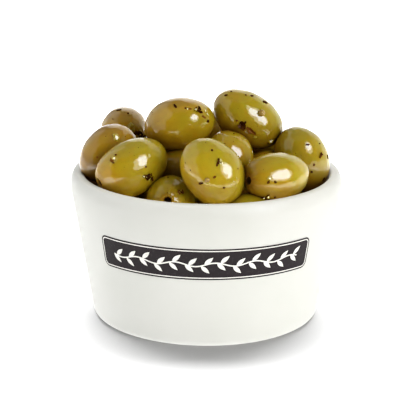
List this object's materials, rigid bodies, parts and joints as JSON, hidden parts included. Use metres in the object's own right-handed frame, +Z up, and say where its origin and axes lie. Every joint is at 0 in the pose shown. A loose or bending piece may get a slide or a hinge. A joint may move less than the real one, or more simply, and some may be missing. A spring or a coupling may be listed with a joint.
{
  "type": "bowl of olives",
  "caption": "Small white glazed bowl with sloping sides and a soft lip, heaped high with large green pitted olives and flakes of dried herb.",
  "frame": {"origin": "on the table, under the middle of the bowl's foot ring", "axes": "+Z up, +X to the right and -Y towards the side that carries the printed panel"},
  "size_m": [0.1, 0.1, 0.0839],
  "materials": {
    "bowl_glaze": "soft satin glaze, off-white",
    "olive_skin": "wet, oiled olive skin, yellow-green to brown-green",
    "olive_core": "dark oily shade between the olives",
    "herb": "oiled flakes of dried herb and ground pepper, brown to black",
    "label_print": "thin fired-on print, charcoal with pale lines"
  },
  "bodies": {
    "root": {"bowl": "bowl_glaze", "olives": "olive_skin"}
  },
  "joints": []
}
